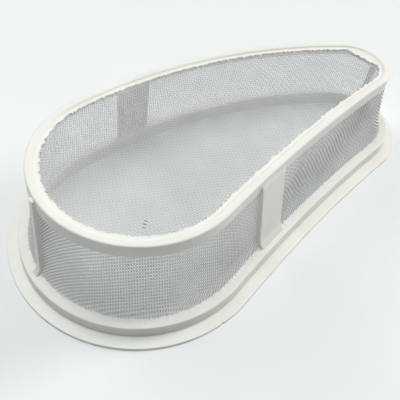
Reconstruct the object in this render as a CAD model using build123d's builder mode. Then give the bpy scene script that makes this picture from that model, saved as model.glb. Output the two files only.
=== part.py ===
from build123d import *
import math
import os

# Dryer lint filter: an upside-down basket of woven wire in one moulded plastic frame.
# Millimetres. X runs along the length to the narrow end, Z is up, the flange lies on Z = 0,
# and the origin is the middle of the flange's box on that plane.

# Plan outline of the rim: a wide end, a narrow end and two long side arcs that meet them smoothly.
# A negative side radius makes that side hollow.
wide_radius = 68.0
narrow_radius = 28.8
centre_distance = 190.3
far_side_radius = 343.0
near_side_radius = -1220.0

# Heights, and the rim's fall towards the narrow end.
height = 73.8
rim_slope = 0.0344
flange_thickness = 2.0
tier_height = 11.1

# How far each part of the base stands outside the rim's outline.
flange_reach = 22.6
tier_reach = 14.1
foot_reach = 7.6
tier_lip = 1.0
tier_wall = 2.4

# Rim section: a bead, a thin outer skirt and a lower ledge that holds the top screen.
rim_height = 9.4
rim_skirt = 2.6
bead_width = 4.8
ledge_drop = 1.2
ledge_thickness = 2.4
ledge_width = 3.2
ledge_hold = 2.0
corner_cut = 13.4
corner_turn = 10.7

# Posts: broad ones on the sides, ribs at the ends, and how far they stand off the screen.
side_post_width = 25.0
end_post_width = 8.0
post_depth = 2.6
post_drop = 2.6
wide_post_turn = 177.2
narrow_post_turn = 2.0
near_post_x = 63.5
far_post_x = 40.7

# Screens: sheet thickness, the flared foot, and how deep the edges sit in the plastic.
screen_thickness = 0.8
flare_height = 5.0
flare_reach = 3.4
foot_hold = 1.6
rim_hold = 4.0
wall_inset = 1.3

# The weave is shown by a grid of gaps with bars between them and a ridge on each bar.
weave_turn = 21.5
gap_pitch = 22.5
smallest_gap = 40.0
wall_gap_rows = 2
wall_gap_pitch = 22.0
bar_width = 3.2
gap_margin = 1.2
ridge_width = 1.6
ridge_height = 0.4


def side_arc(radius, side):
    """Centre of one long side's arc and the directions of its normals at the wide and the narrow end."""
    to_wide = radius - wide_radius
    to_narrow = radius - narrow_radius
    x = (to_wide ** 2 - to_narrow ** 2 + centre_distance ** 2) / (2 * centre_distance)
    y = -side * math.copysign(math.sqrt(to_wide ** 2 - x ** 2), radius)
    at_wide = math.atan2(-y / to_wide, -x / to_wide)
    at_narrow = math.atan2(-y / to_narrow, (centre_distance - x) / to_narrow)
    return (x, y), at_wide, at_narrow


far_centre, far_wide, far_narrow = side_arc(far_side_radius, 1)
near_centre, near_wide, near_narrow = side_arc(near_side_radius, -1)
full_turn = 2 * math.pi

# The four arcs in order round the outline: centre, radius, first and last normal direction.
arcs = [
    ((centre_distance, 0.0), narrow_radius, near_narrow, far_narrow),
    (far_centre, far_side_radius, far_narrow, far_wide),
    ((0.0, 0.0), wide_radius, far_wide, near_wide + full_turn),
    (near_centre, near_side_radius, near_wide + full_turn, near_narrow + full_turn),
]


def arc_point(arc, turn, offset):
    (x, y), radius, first, last = arc
    return (x + (radius + offset) * math.cos(turn), y + (radius + offset) * math.sin(turn))


def draw_outline(offset):
    """Draws the closed outline, moved outwards by the offset, in the line that is open."""
    for arc in arcs:
        first, last = arc[2], arc[3]
        middle = (first + last) / 2
        ThreePointArc(*[arc_point(arc, turn, offset) for turn in (first, middle, last)])


def walk(distance):
    """Point on the rim's outline and its normal direction at a distance round it."""
    for arc, length in zip(arcs, arc_lengths):
        if distance <= length:
            turn = arc[2] + (arc[3] - arc[2]) * distance / length
            return arc_point(arc, turn, 0), turn
        distance -= length
    return walk(distance)


def side_turn(arc, x):
    """Normal direction on a long side at a given x."""
    turn = math.acos((x - arc[0][0]) / abs(arc[1]))
    if arc[0][1] > 0:
        turn = -turn
    if arc[1] < 0:
        turn += math.pi
    return turn


arc_lengths = [abs(arc[1] * (arc[3] - arc[2])) for arc in arcs]
round_length = sum(arc_lengths)


def distance_to(index, turn):
    """Distance round the outline to a normal direction on one of its arcs."""
    first, last = arcs[index][2], arcs[index][3]
    return sum(arc_lengths[:index]) + arc_lengths[index] * (turn - first) / (last - first)


far_top = far_centre[1] + far_side_radius
mid_x = (centre_distance + narrow_radius - wide_radius) / 2
mid_y = (far_top - wide_radius) / 2


def level(z):
    """Flat plane at a height, with the wide end's centre as its origin."""
    return Plane(origin=(-mid_x, -mid_y, z), x_dir=(1, 0, 0), z_dir=(0, 0, 1))


def rim_plane(drop):
    """Plane that falls with the rim, a drop below the rim's top."""
    top = Plane(origin=(-mid_x, -mid_y, height), x_dir=(1, 0, -rim_slope), z_dir=(rim_slope, 0, 1))
    return top.offset(-drop)


crease_reach = foot_reach - flare_reach
wall_top_drop = rim_height - rim_hold
half = screen_thickness / 2

# Where the posts stand: distance round the outline and width, in order.
post_places = [
    (distance_to(0, math.radians(narrow_post_turn)), end_post_width),
    (distance_to(1, side_turn(arcs[1], far_post_x)), side_post_width),
    (distance_to(2, math.radians(wide_post_turn)), end_post_width),
    (distance_to(3, side_turn(arcs[3], near_post_x)), side_post_width),
]

# The wall's sheet without its gaps, from inside the tier to inside the rim.
with BuildPart() as side_sheet:
    with BuildSketch(level(tier_height - foot_hold)):
        with BuildLine():
            draw_outline(foot_reach + half)
        make_face()
    with BuildSketch(level(tier_height)):
        with BuildLine():
            draw_outline(foot_reach + half)
        make_face()
    with BuildSketch(level(tier_height + flare_height)):
        with BuildLine():
            draw_outline(crease_reach + half)
        make_face()
    with BuildSketch(rim_plane(wall_top_drop)):
        with BuildLine():
            draw_outline(half - wall_inset)
        make_face()
    loft(ruled=True)
    with BuildSketch(level(tier_height - foot_hold)):
        with BuildLine():
            draw_outline(foot_reach - half)
        make_face()
    with BuildSketch(level(tier_height)):
        with BuildLine():
            draw_outline(foot_reach - half)
        make_face()
    with BuildSketch(level(tier_height + flare_height)):
        with BuildLine():
            draw_outline(crease_reach - half)
        make_face()
    with BuildSketch(rim_plane(wall_top_drop)):
        with BuildLine():
            draw_outline(-half - wall_inset)
        make_face()
    loft(ruled=True, mode=Mode.SUBTRACT)

# The top's sheet without its gaps. One chord is cut off at the narrow end.
panel_drop = ledge_drop + (ledge_thickness - screen_thickness) / 2
panel_reach = -bead_width - ledge_width + ledge_hold
chord_x = centre_distance + narrow_radius - corner_cut
corner_size = 4 * narrow_radius
corner_align = (Align.MIN, Align.CENTER)
with BuildPart() as top_sheet:
    with BuildSketch(rim_plane(panel_drop)):
        with BuildLine():
            draw_outline(panel_reach)
        make_face()
        with Locations(Location((centre_distance, 0, 0), (0, 0, corner_turn))):
            with Locations((chord_x - centre_distance + ledge_hold, 0)):
                Rectangle(corner_size, corner_size, align=corner_align, mode=Mode.SUBTRACT)
    extrude(amount=-screen_thickness)

# Four flat posts that follow the wall and its flared foot.
with BuildPart() as posts:
    with BuildSketch(level(tier_height - foot_hold)):
        with BuildLine():
            draw_outline(foot_reach + half + post_depth)
        make_face()
    with BuildSketch(level(tier_height)):
        with BuildLine():
            draw_outline(foot_reach + half + post_depth)
        make_face()
    with BuildSketch(level(tier_height + flare_height)):
        with BuildLine():
            draw_outline(crease_reach + half + post_depth)
        make_face()
    with BuildSketch(rim_plane(post_drop)):
        with BuildLine():
            draw_outline(half - wall_inset + post_depth)
        make_face()
    loft(ruled=True)
    with BuildSketch(level(tier_height - foot_hold)):
        with BuildLine():
            draw_outline(foot_reach)
        make_face()
    with BuildSketch(level(tier_height)):
        with BuildLine():
            draw_outline(foot_reach)
        make_face()
    with BuildSketch(level(tier_height + flare_height)):
        with BuildLine():
            draw_outline(crease_reach)
        make_face()
    with BuildSketch(rim_plane(wall_top_drop)):
        with BuildLine():
            draw_outline(-wall_inset)
        make_face()
    with BuildSketch(rim_plane(0)):
        with BuildLine():
            draw_outline(-wall_inset)
        make_face()
    loft(ruled=True, mode=Mode.SUBTRACT)
    with BuildSketch(level(0)):
        for distance, width in post_places:
            (x, y), turn = walk(distance)
            with Locations(Location((x, y, 0), (0, 0, math.degrees(turn)))):
                Rectangle(8 * post_depth + 4 * foot_reach, width)
    extrude(amount=2 * height, mode=Mode.INTERSECT)

with BuildPart() as frame:
    # Flange and the raised tier, hollowed from below to an even wall.
    with BuildSketch(level(0)):
        with BuildLine():
            draw_outline(flange_reach)
        make_face()
        with BuildLine():
            draw_outline(foot_reach - half - tier_lip)
        make_face(mode=Mode.SUBTRACT)
    extrude(amount=flange_thickness)
    with BuildSketch(level(0)):
        with BuildLine():
            draw_outline(tier_reach)
        make_face()
        with BuildLine():
            draw_outline(foot_reach - half - tier_lip)
        make_face(mode=Mode.SUBTRACT)
    extrude(amount=tier_height)
    with BuildSketch(level(0)):
        with BuildLine():
            draw_outline(tier_reach - tier_wall)
        make_face()
        with BuildLine():
            draw_outline(foot_reach - half - tier_lip + tier_wall)
        make_face(mode=Mode.SUBTRACT)
    extrude(amount=tier_height - tier_wall - foot_hold, mode=Mode.SUBTRACT)
    # Rim: the outer skirt, the bead on it, and the ledge inside with its filled narrow corner.
    with BuildSketch(rim_plane(0)):
        with BuildLine():
            draw_outline(0)
        make_face()
        with BuildLine():
            draw_outline(-rim_skirt)
        make_face(mode=Mode.SUBTRACT)
    extrude(amount=-rim_height)
    with BuildSketch(rim_plane(0)):
        with BuildLine():
            draw_outline(-rim_skirt / 2)
        make_face()
        with BuildLine():
            draw_outline(-bead_width)
        make_face(mode=Mode.SUBTRACT)
    extrude(amount=-ledge_drop - ledge_thickness)
    with BuildSketch(rim_plane(ledge_drop)):
        with BuildLine():
            draw_outline(-bead_width / 2)
        make_face()
        with BuildSketch(mode=Mode.SUBTRACT):
            with BuildLine():
                draw_outline(-bead_width - ledge_width)
            make_face()
            with Locations(Location((centre_distance, 0, 0), (0, 0, corner_turn))):
                with Locations((chord_x - centre_distance, 0)):
                    Rectangle(corner_size, corner_size, align=corner_align, mode=Mode.SUBTRACT)
    extrude(amount=-ledge_thickness)
    add(posts.part)
    add(side_sheet.part, mode=Mode.SUBTRACT)
    add(top_sheet.part, mode=Mode.SUBTRACT)

# Side screen: gaps in rows, spread evenly between each post and the next, from the foot up to the rim.
wall_low = tier_height + flare_height
wall_gaps = []
for (here, width), (there, next_width) in zip(post_places, post_places[1:] + post_places[:1]):
    first = here + width / 2
    free = (there - next_width / 2 - first) % round_length
    columns = round(free / wall_gap_pitch)
    step = free / columns
    for column in range(columns):
        (x, y), turn = walk(first + step * (column + 0.5))
        bottom = tier_height + gap_margin
        top = height - rim_slope * x - rim_height - gap_margin
        tall = (top - bottom + bar_width) / wall_gap_rows
        for row in range(wall_gap_rows):
            spot = Location((x - mid_x, y - mid_y, bottom + tall * row), (0, 0, math.degrees(turn)))
            wall_gaps.append((spot, step - bar_width, tall - bar_width))

# Planes of the ridges that run round on the bars between the rows.
ring_planes = []
for ring in range(1, wall_gap_rows):
    share = ring / wall_gap_rows
    lift = tier_height + share * (height - rim_height - tier_height)
    fall = share * rim_slope
    ring_planes.append(Plane(origin=(-mid_x, -mid_y, lift), x_dir=(1, 0, -fall), z_dir=(fall, 0, 1)))

with BuildPart() as wall_ridges:
    with BuildSketch(level(wall_low)):
        with BuildLine():
            draw_outline(crease_reach)
        make_face()
    with BuildSketch(rim_plane(wall_top_drop)):
        with BuildLine():
            draw_outline(-wall_inset)
        make_face()
    loft(ruled=True)
    with BuildSketch(level(wall_low)):
        with BuildLine():
            draw_outline(crease_reach - half - ridge_height)
        make_face()
    with BuildSketch(rim_plane(wall_top_drop)):
        with BuildLine():
            draw_outline(-wall_inset - half - ridge_height)
        make_face()
    loft(ruled=True, mode=Mode.SUBTRACT)
    with BuildSketch(*ring_planes):
        Rectangle(4 * centre_distance, 4 * centre_distance)
    extrude(amount=ridge_width / 2, both=True, mode=Mode.INTERSECT)

with BuildPart() as side_screen:
    add(side_sheet.part)
    cutters = []
    for spot, wide, tall in wall_gaps:
        with Locations(spot):
            middle = (Align.CENTER, Align.CENTER, Align.MIN)
            cutters.append(Box(8 * flare_reach, wide, tall, align=middle, mode=Mode.PRIVATE))
    add(cutters, mode=Mode.SUBTRACT)
    add(wall_ridges.part)

# Top screen: a field of square gaps turned to the weave and trimmed along the ledge, with ridges one
# way above and the other way below.
field = round((centre_distance + 2 * wide_radius) / gap_pitch)
gap_edge = bead_width + ledge_width + gap_margin
with BuildSketch(rim_plane(panel_drop)) as top_gaps:
    with BuildLine():
        draw_outline(-gap_edge)
    make_face()
    with Locations(Location((centre_distance, 0, 0), (0, 0, corner_turn))):
        with Locations((chord_x - centre_distance - gap_margin, 0)):
            Rectangle(corner_size, corner_size, align=corner_align, mode=Mode.SUBTRACT)
    with BuildSketch(mode=Mode.INTERSECT):
        with Locations(Location((0, 0, 0), (0, 0, weave_turn))):
            with GridLocations(gap_pitch, gap_pitch, 2 * field, 2 * field):
                Rectangle(gap_pitch - bar_width, gap_pitch - bar_width)

with BuildPart() as top_screen:
    add(top_sheet.part)
    for gap in top_gaps.sketch.faces():
        if gap.area > smallest_gap:
            extrude(gap, amount=-screen_thickness, mode=Mode.SUBTRACT)
    ridges = [
        (weave_turn, panel_drop, ridge_height),
        (weave_turn + 90, panel_drop + screen_thickness, -ridge_height),
    ]
    for turn, drop, rise in ridges:
        with BuildSketch(rim_plane(drop)):
            with BuildLine():
                draw_outline(-gap_edge)
            make_face()
            with Locations(Location((centre_distance, 0, 0), (0, 0, corner_turn))):
                with Locations((chord_x - centre_distance - gap_margin, 0)):
                    Rectangle(corner_size, corner_size, align=corner_align, mode=Mode.SUBTRACT)
            with BuildSketch(mode=Mode.INTERSECT):
                with Locations(Location((0, 0, 0), (0, 0, turn))):
                    with GridLocations(0, gap_pitch, 1, 2 * field + 1):
                        Rectangle(6 * centre_distance, ridge_width)
        extrude(amount=rise)

frame.part.label = "frame"
side_screen.part.label = "side_screen"
top_screen.part.label = "top_screen"

os.makedirs("parts", exist_ok=True)
export_step(frame.part, "parts/frame.step")
export_step(side_screen.part, "parts/side_screen.step")
export_step(top_screen.part, "parts/top_screen.step")
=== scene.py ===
import bpy
import math
import random
import numpy as np
from mathutils import Matrix, Vector, noise


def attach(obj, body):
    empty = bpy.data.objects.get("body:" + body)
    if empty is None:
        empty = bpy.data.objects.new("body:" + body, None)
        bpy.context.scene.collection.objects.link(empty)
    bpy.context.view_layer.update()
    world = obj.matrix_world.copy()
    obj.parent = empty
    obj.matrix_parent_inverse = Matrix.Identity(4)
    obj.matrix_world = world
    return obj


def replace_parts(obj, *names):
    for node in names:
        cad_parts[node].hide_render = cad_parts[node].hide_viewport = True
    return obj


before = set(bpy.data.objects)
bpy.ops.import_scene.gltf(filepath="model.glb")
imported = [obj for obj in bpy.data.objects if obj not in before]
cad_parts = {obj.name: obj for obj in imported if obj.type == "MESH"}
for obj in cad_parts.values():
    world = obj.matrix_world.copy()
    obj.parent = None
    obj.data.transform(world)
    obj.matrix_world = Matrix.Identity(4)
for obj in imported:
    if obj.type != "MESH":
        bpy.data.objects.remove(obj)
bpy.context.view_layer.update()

millimetre = 0.001

# Sizes of the part in millimetres, with the names that the CAD source uses. The flange reaches a little
# less far than there, to stay inside the CAD box.
wide_radius = 68.0
narrow_radius = 28.8
centre_distance = 190.3
far_side_radius = 343.0
near_side_radius = -1220.0
height = 73.8
rim_slope = 0.0344
flange_thickness = 2.0
tier_height = 11.1
flange_reach = 22.56
tier_reach = 14.1
foot_reach = 7.6
tier_lip = 1.0
tier_wall = 2.4
rim_height = 9.4
rim_skirt = 2.6
bead_width = 4.8
ledge_drop = 1.2
ledge_thickness = 2.4
ledge_width = 3.2
corner_cut = 13.4
corner_turn = math.radians(10.7)
side_post_width = 25.0
post_depth = 2.6
post_drop = 2.6
wide_post_turn = math.radians(177.2)
narrow_post_turn = math.radians(2.0)
near_post_x = 63.5
far_post_x = 40.7
screen_thickness = 0.8
flare_height = 5.0
flare_reach = 3.4
foot_hold = 1.6
rim_hold = 4.0
wall_inset = 1.3
weave_turn = math.radians(21.5)

# Rounding of the moulded edges. It takes up no more than a share of each side next to its corner, and edges
# that turn by more than the sharp angle are shaded as sharp.
edge_round = 0.8
tier_edge_round = 1.1
flange_foot_round = 0.3
lip_chamfer = 0.4
skirt_inner_round = 0.3
skirt_outer_round = 0.5
rim_outer_round = 1.3
bead_foot_round = 0.6
post_edge_round = 0.7
rib_edge_round = 0.5
corner_share = 0.48
sharp_angle = math.radians(38)

# Where the tier's top starts outside the wall's foot, and the two ends of the bead's inner slope.
tier_top_start = 1.6
bead_slope_top = 0.2
bead_slope_foot = 0.8

# The ribs at the two ends: narrow fins whose foot and top lie to either side of their middle.
rib_width = 4.4
rib_lean = 1.9

# Posts and wires start a little inside the tier. The broad posts bend in from a shoulder just above the rim's
# lower edge, and every post ends inside the rim.
wall_foot = tier_height - 0.6
post_shoulder = rim_height - 1.0
post_bury = 0.1
post_top_reach = -1.0

# How finely a post is cut: points across its rounded edges and its face, and shares of its way up.
post_edge_points = 5
post_face_points = 15
flare_shares = np.linspace(0, 0.9, 7)
wall_shares = (0.01, 0.04, 0.1, 0.3, 0.5, 0.7, 0.9, 1.0)
shoulder_shares = np.linspace(0.15, 1, 8)

# Plastic that crept between the wires: how long a step along an edge is, how far it reaches, and the thin
# film and edge that it ends in.
creep_step = 1.4
creep_reach = 1.1
foot_creep = 0.6
foot_climb = 0.15
foot_film_inside = 0.25
foot_film_outside = 0.35
ledge_flat_end = 0.6
ledge_edge_width = 0.35
ledge_edge_fall = 0.4
foot_seed = 3
rim_seed = 5

# The stepped chord of the filled corner: its overlap with the ledge, and its teeth.
corner_overlap = 0.4
corner_teeth = (0.0, 0.0, 0.7, 1.3)
corner_teeth_count = 60
corner_teeth_start = 40
corner_seed = 11

# Rows of the frame have this many stations round the outline. The nick in the flange's outer band counts its
# width in them.
stations = 1100
nick_turn = math.radians(271.2)
nick_width = 0.9
nick_depth = 0.9
nick_band = 1

# The real weave: wire size, how far a wire bends over its neighbours, and spacing. The wall's wires end just
# below the rim's hold, and slanting and top wires of too few points are left out.
wire_radius = 0.17
wire_sides = 4
crimp = 0.24
wall_pitch = 1.63
level_pitch = 1.5
top_pitch = 1.54
fewest_points = 3
rim_clear = 0.2

# Soft dents in the wall's cloth, and how its foot spreads out onto the tier.
dent_depth = 0.9
dent_mean = 0.45
dent_swing = 0.8
dent_size = 45
dent_seed = 2.0
spread_height = 1.8 * flare_height
spread_short = 0.5

# The pull along the near side: it starts before the post's edge, grows, and fades out at the outline's end.
near_lean = 0.55
pull_lead = 14
pull_growth = 34
pull_fade = 40

# The front field runs on the bias. Its crossings lie in rows that bow upwards round the middle, and more so
# towards the wide end's rib. No wire has more crossings than there are steps.
bias_wire_radius = 0.155
bias_pitch = 1.56
bias_rise = 2.95
bias_steps = 120
bias_middle = math.radians(243)
bias_bow = 60.0
end_bow_start = 40
end_bow = 120.0
foot_slack = 0.1

# Past the middle, the crossings' painted highlight and shade blend into a rising family painted in shade and
# a falling family painted lit. Noise makes the tones wander a little.
blend_start = 6
blend_length = 24
family_tone = 0.6
family_contrast = 0.4
crown_wander = 0.2

# The top screen: how far its wires go into the ledge, and how they sway and sag.
panel_hold = 1.2
panel_edge_stride = 4
sway = 0.25
sway_size = 30
sway_seed = 4.0
sag = 0.22
sag_size = 38
sag_seed = 5.0

# Three short dark threads on the top screen: where they start in plan, how they run, the direction across
# them, and their size.
dark_thread_places = ((-27.4, -45.2), (-25.6, -43.4), (-23.9, -41.8))
dark_thread_run = (1.1, -1.5)
dark_thread_across_turn = 0.9
dark_thread_radius = 0.2

# Tones of each material, the darker one first.
plastic_tones = ((0.79, 0.772, 0.73), (0.84, 0.826, 0.79))
# The wire tones paint light and shade on one wire: a lit copy for the rings and the top's warp, a shaded copy
# for the uprights and a half-shaded copy for the top's weft.
painted_lit_wire_tones = ((0.88, 0.895, 0.91), (0.95, 0.96, 0.97))
painted_shaded_wire_tones = ((0.25, 0.258, 0.267), (0.37, 0.38, 0.39))
painted_half_shaded_wire_tones = ((0.57, 0.587, 0.603), (0.69, 0.705, 0.72))
# Painted highlight and shade for the front field's crossings, from the shaded tone to the lit one.
painted_crossing_tones = ((0.17, 0.177, 0.184), (0.97, 0.98, 0.99))
dark_thread_tones = ((0.05, 0.05, 0.055), (0.12, 0.12, 0.125))
table_tones = ((0.765, 0.79, 0.80), (0.805, 0.825, 0.83))

# Values that follow from those above.
full_turn = 2 * math.pi
half = screen_thickness / 2
crease_reach = foot_reach - flare_reach
wall_low = tier_height + flare_height
chord_along = narrow_radius - corner_cut
ledge_reach = -bead_width - ledge_width
ledge_bottom = ledge_drop + ledge_thickness
panel_middle_drop = ledge_drop + ledge_thickness / 2
narrow_centre = np.array([centre_distance, 0.0])


def direction(turn):
    return np.array([math.cos(turn), math.sin(turn)])


def eased(share):
    """A share from 0 to 1 that starts and stops softly."""
    return share * share * (3 - 2 * share)


# The rim's outline: four arcs in order, each with centre, radius, first and last normal direction.
def side_arc(radius, side):
    to_wide = radius - wide_radius
    to_narrow = radius - narrow_radius
    x = (to_wide ** 2 - to_narrow ** 2 + centre_distance ** 2) / (2 * centre_distance)
    y = -side * math.copysign(math.sqrt(to_wide ** 2 - x ** 2), radius)
    at_wide = math.atan2(-y / to_wide, -x / to_wide)
    at_narrow = math.atan2(-y / to_narrow, (centre_distance - x) / to_narrow)
    return (x, y), at_wide, at_narrow


far_centre, far_wide, far_narrow = side_arc(far_side_radius, 1)
near_centre, near_wide, near_narrow = side_arc(near_side_radius, -1)
arcs = [
    ((centre_distance, 0.0), narrow_radius, near_narrow, far_narrow),
    (far_centre, far_side_radius, far_narrow, far_wide),
    ((0.0, 0.0), wide_radius, far_wide, near_wide + full_turn),
    (near_centre, near_side_radius, near_wide + full_turn, near_narrow + full_turn),
]
arc_lengths = [abs(arc[1] * (arc[3] - arc[2])) for arc in arcs]
round_length = sum(arc_lengths)
mid_x = (centre_distance + narrow_radius - wide_radius) / 2
mid_y = (far_centre[1] + far_side_radius - wide_radius) / 2


def walk(distances):
    """Points on the rim's outline and outward normals at distances round it."""
    distances = np.mod(np.asarray(distances, float), round_length)
    points = np.zeros((len(distances), 2))
    normals = np.zeros((len(distances), 2))
    start = 0.0
    for (centre, radius, first, last), length in zip(arcs, arc_lengths):
        here = (distances >= start) & (distances <= start + length)
        turn = first + (last - first) * (distances[here] - start) / length
        normals[here] = np.c_[np.cos(turn), np.sin(turn)]
        points[here] = np.array(centre) + radius * normals[here]
        start += length
    return points, normals


def distance_to(index, turn):
    """Distance round the outline to a normal direction on one of its arcs."""
    first, last = arcs[index][2], arcs[index][3]
    return sum(arc_lengths[:index]) + arc_lengths[index] * (turn - first) / (last - first)


def side_turn(arc, x):
    """Normal direction on a long side at a given x."""
    turn = math.acos((x - arc[0][0]) / abs(arc[1]))
    return turn + math.pi if arc[1] < 0 else turn


# Where the ribs and posts stand round the outline. The front field lies between the last two.
narrow_rib = distance_to(0, narrow_post_turn)
far_post = distance_to(1, side_turn(arcs[1], far_post_x))
wide_rib = distance_to(2, wide_post_turn)
near_post = distance_to(3, side_turn(arcs[3], near_post_x))

# Level planes and planes that fall with the rim, both in the part's own frame.
slant = math.hypot(1, rim_slope)
rim_x = np.array([1, 0, -rim_slope]) / slant
rim_y = np.array([0, 1.0, 0])
rim_up = np.array([rim_slope, 0, 1]) / slant


def at_level(xy, z):
    return np.c_[xy[:, 0] - mid_x, xy[:, 1] - mid_y, np.broadcast_to(z, len(xy))]


def at_rim(xy, drop):
    origin = np.array([-mid_x, -mid_y, height])
    drop = np.broadcast_to(drop, len(xy))
    return origin + xy[:, :1] * rim_x + xy[:, 1:] * rim_y - drop[:, None] * rim_up


def smooth_noise(points, size, seed):
    """Slow, even noise over plan points, from about -1 to 1."""
    return np.array([noise.noise(Vector((p[0] / size, p[1] / size, seed))) for p in points])


# Materials.
def new_material(name):
    material = bpy.data.materials.new(name)
    material.use_nodes = True
    tree = material.node_tree
    return material, tree, tree.nodes["Principled BSDF"]


def grain(tree, scale, detail):
    """Noise in the piece's own space, with about as many blotches to the metre as its scale."""
    coords = tree.nodes.new("ShaderNodeTexCoord")
    node = tree.nodes.new("ShaderNodeTexNoise")
    node.inputs["Scale"].default_value = scale
    node.inputs["Detail"].default_value = detail
    tree.links.new(coords.outputs["Object"], node.inputs["Vector"])
    return node.outputs["Fac"]


def colour_by(tree, shader, value, tones, low, high):
    """Colours the base from the darker tone at a low value to the lighter one at a high value."""
    ramp = tree.nodes.new("ShaderNodeValToRGB")
    dark = ramp.color_ramp.elements[0]
    dark.position = low
    dark.color = (*tones[0], 1)
    light = ramp.color_ramp.elements[1]
    light.position = high
    light.color = (*tones[1], 1)
    tree.links.new(value, ramp.inputs["Fac"])
    tree.links.new(ramp.outputs["Color"], shader.inputs["Base Color"])


def tint(tree, shader, tones, scale):
    """Mottles the base colour between a darker and a lighter tone."""
    colour_by(tree, shader, grain(tree, scale, detail=4), tones, low=0.3, high=0.7)


def roughen(tree, shader, scale, low, high):
    spread = tree.nodes.new("ShaderNodeMapRange")
    spread.inputs["To Min"].default_value = low
    spread.inputs["To Max"].default_value = high
    tree.links.new(grain(tree, scale, detail=2), spread.inputs["Value"])
    tree.links.new(spread.outputs["Result"], shader.inputs["Roughness"])


def moulded_plastic():
    material, tree, shader = new_material("moulded_plastic")
    tint(tree, shader, plastic_tones, scale=28)
    roughen(tree, shader, scale=140, low=0.4, high=0.58)
    bump = tree.nodes.new("ShaderNodeBump")
    bump.inputs["Strength"].default_value = 0.15
    bump.inputs["Distance"].default_value = 0.0004
    tree.links.new(grain(tree, scale=420, detail=3), bump.inputs["Height"])
    tree.links.new(bump.outputs["Normal"], shader.inputs["Normal"])
    return material


def wire_finish(tree, shader):
    roughen(tree, shader, scale=300, low=0.3, high=0.45)
    shader.inputs["Metallic"].default_value = 0.15


def woven_wire(name, tones):
    material, tree, shader = new_material(name)
    tint(tree, shader, tones, scale=60)
    wire_finish(tree, shader)
    return material


def crowned_wire(name, tones):
    """Wire whose crossings are painted lit and shaded by turns, by the crown value of its points and a little
    noise.
    """
    material, tree, shader = new_material(name)
    crown = tree.nodes.new("ShaderNodeAttribute")
    crown.attribute_name = "crown"
    wander = tree.nodes.new("ShaderNodeMath")
    wander.operation = "MULTIPLY_ADD"
    wander.inputs[1].default_value = crown_wander
    tree.links.new(grain(tree, scale=60, detail=4), wander.inputs[0])
    tree.links.new(crown.outputs["Fac"], wander.inputs[2])
    colour_by(tree, shader, wander.outputs["Value"], tones, low=0.1, high=1.0)
    wire_finish(tree, shader)
    return material


def dark_thread_material():
    material, tree, shader = new_material("dark_thread_material")
    tint(tree, shader, dark_thread_tones, scale=400)
    shader.inputs["Roughness"].default_value = 0.9
    return material


def pale_table():
    material, tree, shader = new_material("pale_table")
    tint(tree, shader, table_tones, scale=5)
    shader.inputs["Roughness"].default_value = 0.55
    return material


def add_piece(name, verts, faces, material):
    mesh = bpy.data.meshes.new(name)
    mesh.from_pydata((np.asarray(verts) * millimetre).tolist(), [], faces)
    mesh.polygons.foreach_set("use_smooth", [True] * len(mesh.polygons))
    mesh.materials.append(material)
    piece = bpy.data.objects.new(name, mesh)
    bpy.context.scene.collection.objects.link(piece)
    return piece


# The moulded frame, one piece: rings swept round the outline, the filled corner, the posts and the ribs.
class Skin:
    """Collects rows of points and the faces between them."""

    def __init__(self):
        self.verts = []
        self.faces = []

    def add_rows(self, rows, ring):
        count = len(rows[0])
        starts = []
        for row in rows:
            starts.append(len(self.verts))
            self.verts.extend(row.tolist())
        for a, b in zip(starts, starts[1:] + starts[:1]):
            for i in range(count if ring else count - 1):
                j = (i + 1) % count
                self.faces.append([a + i, a + j, b + j, b + i])
        return starts


plan, plan_normal = walk(np.arange(stations) * round_length / stations)


def ring_plan(reach):
    """Plan points round the outline, a reach outside it that may change from station to station."""
    return plan + np.broadcast_to(reach, stations)[:, None] * plan_normal


def creep(high, seed):
    """A stepped amount round the outline, as where plastic has crept between wires."""
    pick = random.Random(seed)
    cells = int(round_length / creep_step) + 1
    values = [pick.choice((0, 0, high / 2, high)) for _ in range(cells)]
    return np.array([values[int(i * round_length / stations / creep_step)] for i in range(stations)])


def rounded(points, radii, steps=4):
    """An open run of (reach, level) points with its inner corners rounded."""
    points = [np.array(p) for p in points]
    run = [points[0]]
    for a, b, c, radius in zip(points, points[1:], points[2:], radii):
        back_length = np.linalg.norm(a - b)
        next_length = np.linalg.norm(c - b)
        reach = min(radius, corner_share * back_length, corner_share * next_length)
        p = b + (a - b) / back_length * reach
        q = b + (c - b) / next_length * reach
        for t in np.linspace(0, 1, steps + 1):
            run.append((1 - t) ** 2 * p + 2 * t * (1 - t) * b + t ** 2 * q)
    return run + [points[-1]]


def base_rows():
    """The flange and the tier, the groove under them, and the plastic that climbed the wires' feet."""
    inner = foot_reach - half - tier_lip
    groove_top = tier_height - tier_wall - foot_hold
    outside = rounded([
        (foot_reach + tier_top_start, tier_height), (tier_reach, tier_height), (tier_reach, flange_thickness),
        (flange_reach, flange_thickness), (flange_reach, 0.0), (tier_reach - tier_wall, 0.0),
    ], [tier_edge_round, edge_round, edge_round, flange_foot_round])
    from_nick = np.arange(stations) - distance_to(2, nick_turn) / round_length * stations
    nick = nick_depth * np.exp(-(from_nick / nick_width) ** 2)
    rows = []
    for reach, z in outside:
        rows.append(at_level(ring_plan(reach - nick * (reach > flange_reach - nick_band)), z))
    for reach, z in [
        (tier_reach - tier_wall, groove_top), (inner + tier_wall, groove_top), (inner + tier_wall, 0.0),
        (inner, 0.0), (inner, tier_height - lip_chamfer), (inner + lip_chamfer, tier_height),
    ]:
        rows.append(at_level(ring_plan(reach), z))
    climb = foot_climb + creep(foot_creep, foot_seed)
    lean = foot_reach - climb * flare_reach / flare_height
    rows.append(at_level(ring_plan(lean - foot_film_inside), tier_height + climb))
    rows.append(at_level(ring_plan(lean + foot_film_outside), tier_height + climb))
    return rows


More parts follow.
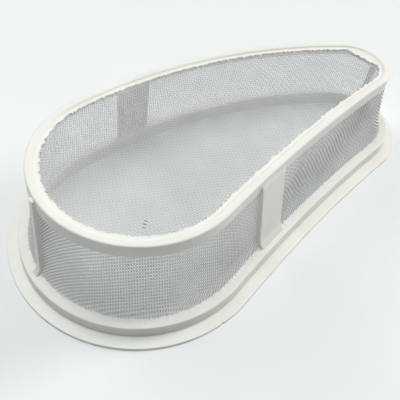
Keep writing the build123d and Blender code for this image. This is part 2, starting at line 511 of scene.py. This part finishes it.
def rim_rows():
    """The rim's skirt, bead and ledge. The ledge's inner edge is stepped between the wires."""
    edge = ledge_reach - creep(creep_reach, rim_seed)
    section = rounded([
        (-rim_skirt, ledge_bottom), (-rim_skirt, rim_height), (0.0, rim_height), (0.0, 0.0),
        (bead_slope_top - bead_width, 0.0), (-bead_slope_foot - bead_width, ledge_drop),
        (ledge_reach + ledge_flat_end, ledge_drop),
    ], [skirt_inner_round, skirt_outer_round, rim_outer_round, edge_round, bead_foot_round], steps=5)
    rows = [at_rim(ring_plan(reach), drop) for reach, drop in section]
    rows.append(at_rim(ring_plan(edge + ledge_edge_width), ledge_drop))
    rows.append(at_rim(ring_plan(edge), ledge_drop + ledge_edge_fall))
    rows.append(at_rim(ring_plan(edge), ledge_bottom))
    return rows


def corner_rows():
    """The filled corner of the ledge at the narrow end, with a stepped edge along its chord."""
    axis = direction(corner_turn)
    across = direction(corner_turn + math.pi / 2)
    edge = ring_plan(ledge_reach + corner_overlap) - narrow_centre
    edge = edge[edge @ axis > chord_along]
    edge = edge[np.argsort(edge @ across)]
    pick = random.Random(corner_seed)
    teeth = [pick.choice(corner_teeth) for _ in range(corner_teeth_count)]
    cells = [int((s + corner_teeth_start) / creep_step) for s in edge @ across]
    inward = np.array([chord_along - teeth[cell] for cell in cells])
    chord = narrow_centre + inward[:, None] * axis + (edge @ across)[:, None] * across
    edge = edge + narrow_centre
    return [
        at_rim(edge, ledge_drop), at_rim(chord, ledge_drop),
        at_rim(chord, ledge_bottom), at_rim(edge, ledge_bottom),
    ]


def post_rows(distance, width, edge, lean, proud):
    """One post with rounded upright edges. Its top stands proud of the rim or runs into it."""
    fine = np.sin(np.linspace(0, math.pi / 2, post_edge_points))
    flat = width / 2 - edge
    left = -flat - edge * fine[::-1]
    along = np.r_[left, np.linspace(-flat, flat, post_face_points)[1:-1], -left[::-1]]
    low_xy, low_out = walk(distance + lean + along)
    high_xy, high_out = walk(distance - lean + along)
    over = np.clip((np.abs(along) - flat) / edge, 0, 1)
    inset = edge * (1 - np.sqrt(1 - over ** 2))
    flush = np.zeros(len(along))

    def low(reach, z, shy=inset):
        return at_level(low_xy + (reach - shy)[:, None] * low_out, z)

    def high(reach, drop, shy=inset):
        return at_rim(high_xy + (reach - shy)[:, None] * high_out, drop)

    foot = foot_reach + half + post_depth
    crease = crease_reach + half + post_depth
    top = half - wall_inset + post_depth
    rows = [low(foot, wall_foot)]
    for share in flare_shares:
        rows.append(low(foot + (crease - foot) * share, tier_height + flare_height * share))
    bottom = low(crease, wall_low)
    shoulder = high(top, post_shoulder)
    for share in wall_shares:
        rows.append(bottom + (shoulder - bottom) * share)
    for share in shoulder_shares:
        sunk = 0.0 if proud else eased(share)
        drop = post_shoulder + (post_drop - post_shoulder) * share
        rows.append(high(top - (top + post_bury) * sunk, drop, inset * (1 - sunk)))
    rows.append(high(post_top_reach, post_drop, flush))
    rows.append(high(-wall_inset, rim_height - rim_hold, flush))
    rows.append(low(crease_reach, wall_low, flush))
    rows.append(low(foot_reach, tier_height, flush))
    rows.append(low(foot_reach, wall_foot, flush))
    return rows


post_places = [
    (narrow_rib, rib_width, rib_edge_round, rib_lean, True),
    (far_post, side_post_width, post_edge_round, 0.0, False),
    (wide_rib, rib_width, rib_edge_round, rib_lean, True),
    (near_post, side_post_width, post_edge_round, 0.0, False),
]


def build_frame():
    skin = Skin()
    skin.add_rows(base_rows(), True)
    skin.add_rows(rim_rows(), True)
    skin.add_rows(corner_rows(), False)
    for place in post_places:
        rows = post_rows(*place)
        starts = skin.add_rows(rows, False)
        skin.faces.append(starts)
        skin.faces.append([s + len(rows[0]) - 1 for s in reversed(starts)])
    piece = add_piece("moulded_frame", skin.verts, skin.faces, moulded_plastic())
    piece.data.set_sharp_from_angle(angle=sharp_angle)
    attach(piece, "root")
    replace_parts(piece, "frame")


# Wires: each run has its points and two directions across the wire.
def wire_piece(name, runs, radius, material):
    verts = []
    faces = []
    first = 0
    turns = [full_turn * (k + 0.5) / wire_sides for k in range(wire_sides)]
    for points, one, two in runs:
        count = len(points)
        rings = [points + radius * (math.cos(t) * one + math.sin(t) * two) for t in turns]
        verts.append(np.stack(rings, axis=1).reshape(-1, 3))
        index = first + np.arange(count * wire_sides).reshape(count, wire_sides)
        beside = np.roll(index, -1, axis=1)
        faces.append(np.stack([index[:-1], beside[:-1], beside[1:], index[1:]], axis=-1).reshape(-1, 4))
        first += count * wire_sides
    piece = add_piece(name, np.vstack(verts), np.vstack(faces).tolist(), material)
    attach(piece, "root")
    return piece


def near_pull(distances, z):
    """How far the cloth is pulled along the near side at a height. Its wires lean most at mid height."""
    start = near_post + side_post_width / 2 - pull_lead
    rise = np.clip((distances - start) / pull_growth, 0, 1)
    fall = np.clip((round_length - distances) / pull_fade, 0, 1)
    lean = near_lean * eased(rise) * eased(fall)
    span = height - rim_height - tier_height
    up = z - tier_height
    return lean / 2 * (up - span / 2 - span / full_turn * math.sin(full_turn * up / span))


def wall_cloth(distances, z):
    """Points and outward directions of the wall's cloth, and where it is below the rim's hold."""
    foot, out = walk(distances)
    top = at_rim(foot - wall_inset * out, rim_height - rim_hold)[:, 2]
    share = (z - wall_low) / (top - wall_low)
    reach = crease_reach - (wall_inset + crease_reach) * share
    dent = dent_mean + dent_swing * smooth_noise(foot, dent_size, dent_seed)
    reach = reach - dent_depth * dent * np.sin(np.clip(share, 0, 1) * math.pi)
    spread = np.clip(1 - (z - tier_height) / spread_height, 0, None)
    reach = reach + (foot_reach - crease_reach - spread_short) * spread ** 2
    outward = np.c_[out, np.zeros(len(out))]
    return at_level(foot + reach[:, None] * out, z), outward, z < top - rim_clear


def bias_wires(sign):
    """One family of slanting wires in the front field, and the crown value of each of their points, which
    sets their painted highlight and shade.
    """
    centre = distance_to(2, bias_middle)
    columns = math.ceil((near_post - wide_rib) / bias_pitch) * 2
    steps = np.arange(bias_steps)
    runs = []
    crowns = []
    for start in range(-bias_steps, columns + bias_steps, 2):
        column = start + sign * steps
        place = wide_rib + column * bias_pitch / 2
        bow = (place - centre) ** 2 / (2 * bias_bow)
        bow = bow + np.clip(centre - end_bow_start - place, 0, None) ** 2 / (2 * end_bow)
        z = wall_foot + steps * bias_rise / 2 - bow
        points, out, held = wall_cloth(place, z)
        keep = held & (z > wall_foot - foot_slack) & (place > wide_rib) & (place < near_post)
        if keep.sum() < fewest_points:
            continue
        odd = column % 2
        over = sign * (1.0 - 2.0 * odd)
        points = (points + crimp * over[:, None] * out)[keep]
        along = np.gradient(points, axis=0)
        along /= np.linalg.norm(along, axis=1)[:, None]
        runs.append((points, out[keep], np.cross(along, out[keep])))
        # Painted highlight and shade: crossings in even columns are lit and odd ones shaded, and past the
        # middle the rising family is painted in shade and the falling one lit.
        blend = np.clip((place[keep] - centre - blend_start) / blend_length, 0, 1)
        family = family_tone - family_contrast * sign
        crowns.append((1 - blend) * (1.0 - odd[keep]) + blend * family)
    return runs, np.concatenate(crowns)


def build_front_field(painted_crossing_wire):
    """The part of the side screen between the wide end's rib and the near post."""
    for name, sign in (("front_screen_rising", 1), ("front_screen_falling", -1)):
        runs, crowns = bias_wires(sign)
        piece = wire_piece(name, runs, bias_wire_radius, painted_crossing_wire)
        tone = piece.data.attributes.new("crown", "FLOAT", "POINT")
        tone.data.foreach_set("value", np.repeat(crowns, wire_sides))
        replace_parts(piece, "side_screen")


def build_side_screen(painted_lit_wire, painted_shaded_wire):
    """The rest of the side: upright wires and rings that pass over and under each other. The uprights take
    the painted shaded copy of the wire and the rings the painted lit copy.
    """
    count = 2 * round(round_length / wall_pitch / 2)
    even = np.arange(count) * round_length / count
    in_field = (even > wide_rib) & (even < near_post)
    rim_top = at_rim(walk(even)[0], rim_height - rim_hold)[:, 2]
    levels = np.arange(wall_foot, rim_top.max(), level_pitch)
    cloth = [wall_cloth(even + near_pull(even, z), z) for z in levels]
    middle = np.array([points for points, out, below in cloth])
    outward = np.array([out for points, out, below in cloth])
    held = np.array([below & ~in_field for points, out, below in cloth])
    beside = np.stack([-outward[:, :, 1], outward[:, :, 0], np.zeros(held.shape)], axis=-1)
    over = 1.0 - 2.0 * ((np.arange(len(levels))[:, None] + np.arange(count)[None]) % 2)
    bend = crimp * over[:, :, None] * outward

    uprights = []
    for i in range(count):
        keep = held[:, i]
        if keep.any():
            uprights.append(((middle + bend)[keep, i], outward[keep, i], beside[keep, i]))
    rings = []
    for j in range(len(levels)):
        order = np.roll(np.arange(count), -int(np.argmin(held[j])))
        breaks = np.where(~held[j][order])[0]
        for part in np.split(order, breaks):
            part = part[held[j][part]]
            if len(part) > 1:
                rings.append(((middle - bend)[j, part], outward[j, part], np.array([0.0, 0.0, 1.0])))
    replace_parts(wire_piece("side_screen_uprights", uprights, wire_radius, painted_shaded_wire), "side_screen")
    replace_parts(wire_piece("side_screen_rings", rings, wire_radius, painted_lit_wire), "side_screen")


def panel_edge():
    """Points round the edge of the top screen, with its chord at the narrow end."""
    axis = direction(corner_turn)
    edge = ring_plan(ledge_reach + panel_hold)[::panel_edge_stride] - narrow_centre
    beyond = np.clip(edge @ axis - chord_along - panel_hold, 0, None)
    return edge - beyond[:, None] * axis + narrow_centre


def build_top_screen(painted_lit_wire, painted_half_shaded_wire):
    """Two families of wires in the rim's plane, each cut to the panel's edge. The warp takes the painted lit
    copy of the wire and the weft the painted half-shaded copy.
    """
    edge = panel_edge()
    for name, turn, sign, material in (
        ("top_screen_warp", weave_turn, 1, painted_lit_wire),
        ("top_screen_weft", weave_turn + math.pi / 2, -1, painted_half_shaded_wire),
    ):
        along = direction(turn)
        beside = direction(turn + math.pi / 2)
        beside_in_rim = beside[0] * rim_x + beside[1] * rim_y
        runs = []
        sideways = edge @ beside
        onward = edge @ along
        first = math.ceil(sideways.min() / top_pitch)
        last = math.floor(sideways.max() / top_pitch)
        for line in range(first, last + 1):
            from_line = sideways - line * top_pitch
            next_line = np.roll(from_line, -1)
            cut = (from_line > 0) != (next_line > 0)
            share = from_line[cut] / (from_line[cut] - next_line[cut])
            meets = np.sort(onward[cut] + (np.roll(onward, -1)[cut] - onward[cut]) * share)
            for start, end in zip(meets[::2], meets[1::2]):
                halves = np.arange(math.ceil(2 * start / top_pitch), math.floor(2 * end / top_pitch) + 1)
                if len(halves) < fewest_points:
                    continue
                xy = (halves * top_pitch / 2)[:, None] * along + line * top_pitch * beside
                xy = xy + sway * smooth_noise(xy, sway_size, sway_seed * sign)[:, None] * beside
                rise = sign * crimp * np.cos(math.pi * (halves / 2 + line))
                rise = rise + sag * smooth_noise(xy, sag_size, sag_seed)
                runs.append((at_rim(xy, panel_middle_drop - rise), beside_in_rim, rim_up))
        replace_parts(wire_piece(name, runs, wire_radius, material), "top_screen")


def build_dark_threads():
    """Three short dark threads on the top screen."""
    across = np.append(direction(dark_thread_across_turn), 0)
    drop = panel_middle_drop - crimp - wire_radius
    runs = []
    for x, y in dark_thread_places:
        ends = np.array([[x, y], [x + dark_thread_run[0], y + dark_thread_run[1]]])
        runs.append((at_rim(ends, drop), across, rim_up))
    wire_piece("dark_threads", runs, dark_thread_radius, dark_thread_material())


build_frame()
# One wire, made in painted lit, shaded and half-shaded copies.
painted_lit_wire = woven_wire("painted_lit_wire", painted_lit_wire_tones)
painted_shaded_wire = woven_wire("painted_shaded_wire", painted_shaded_wire_tones)
painted_half_shaded_wire = woven_wire("painted_half_shaded_wire", painted_half_shaded_wire_tones)
build_front_field(crowned_wire("painted_crossing_wire", painted_crossing_tones))
build_side_screen(painted_lit_wire, painted_shaded_wire)
build_top_screen(painted_lit_wire, painted_half_shaded_wire)
build_dark_threads()

# Table, light and camera. The table's reach is in millimetres, as pieces are.
table_reach = 6000
table_corners = np.array([(-1, -1, 0), (1, -1, 0), (1, 1, 0), (-1, 1, 0)]) * table_reach
table = add_piece("table", table_corners, [[0, 1, 2, 3]], pale_table())

world = bpy.data.worlds.new("soft_room")
bpy.context.scene.world = world
world.use_nodes = True
background = world.node_tree.nodes["Background"]
background.inputs["Color"].default_value = (1.0, 0.86, 0.66, 1)
background.inputs["Strength"].default_value = 0.025

# Lights, with places and sizes in metres. Each is turned to the middle of the part.
light_aim = Vector((0, 0, 0.03))


def area_light(name, place, size, power, colour):
    data = bpy.data.lights.new(name, "AREA")
    data.shape = "DISK"
    data.size = size
    data.energy = power
    data.color = colour
    light = bpy.data.objects.new(name, data)
    light.location = place
    light.rotation_euler = (light_aim - Vector(place)).to_track_quat("-Z", "Y").to_euler()
    bpy.context.scene.collection.objects.link(light)


area_light("overhead", (-0.15, 0.0, 3.3), size=2.2, power=73, colour=(0.94, 1.0, 1.0))
area_light("right_side", (2.75, -0.66, 1.4), size=1.3, power=62, colour=(1.0, 0.96, 0.94))
area_light("far_side", (-1.1, 2.4, 2.6), size=1.8, power=30, colour=(1.0, 0.97, 0.93))
area_light("far_low", (-0.2, 2.75, 1.5), size=1.3, power=19, colour=(1.0, 0.99, 0.97))

# The camera: place in millimetres from the wide end's centre, turn round Z, tilt, roll and lens.
camera_place = Vector((-133.25 - mid_x, -212.25 - mid_y, 329.94)) * millimetre
camera_turn = math.radians(-131.102)
camera_tilt = math.radians(49.5636)
camera_roll = math.radians(5.6253)
camera_data = bpy.data.cameras.new("camera")
camera_data.sensor_width = 36.0
camera_data.lens = 52.79
camera_data.clip_start = 0.01
camera = bpy.data.objects.new("camera", camera_data)
bpy.context.scene.collection.objects.link(camera)
level_way = math.cos(camera_tilt) * direction(camera_turn)
back = Vector((*level_way, math.sin(camera_tilt)))
right = (-back).cross(Vector((0, 0, 1))).normalized()
up = right.cross(-back)
axes = Matrix((right, up, back)).transposed() @ Matrix.Rotation(camera_roll, 3, "Z")
camera.matrix_world = Matrix.Translation(camera_place) @ axes.to_4x4()
bpy.context.scene.camera = camera
bpy.context.scene.view_settings.view_transform = "Standard"
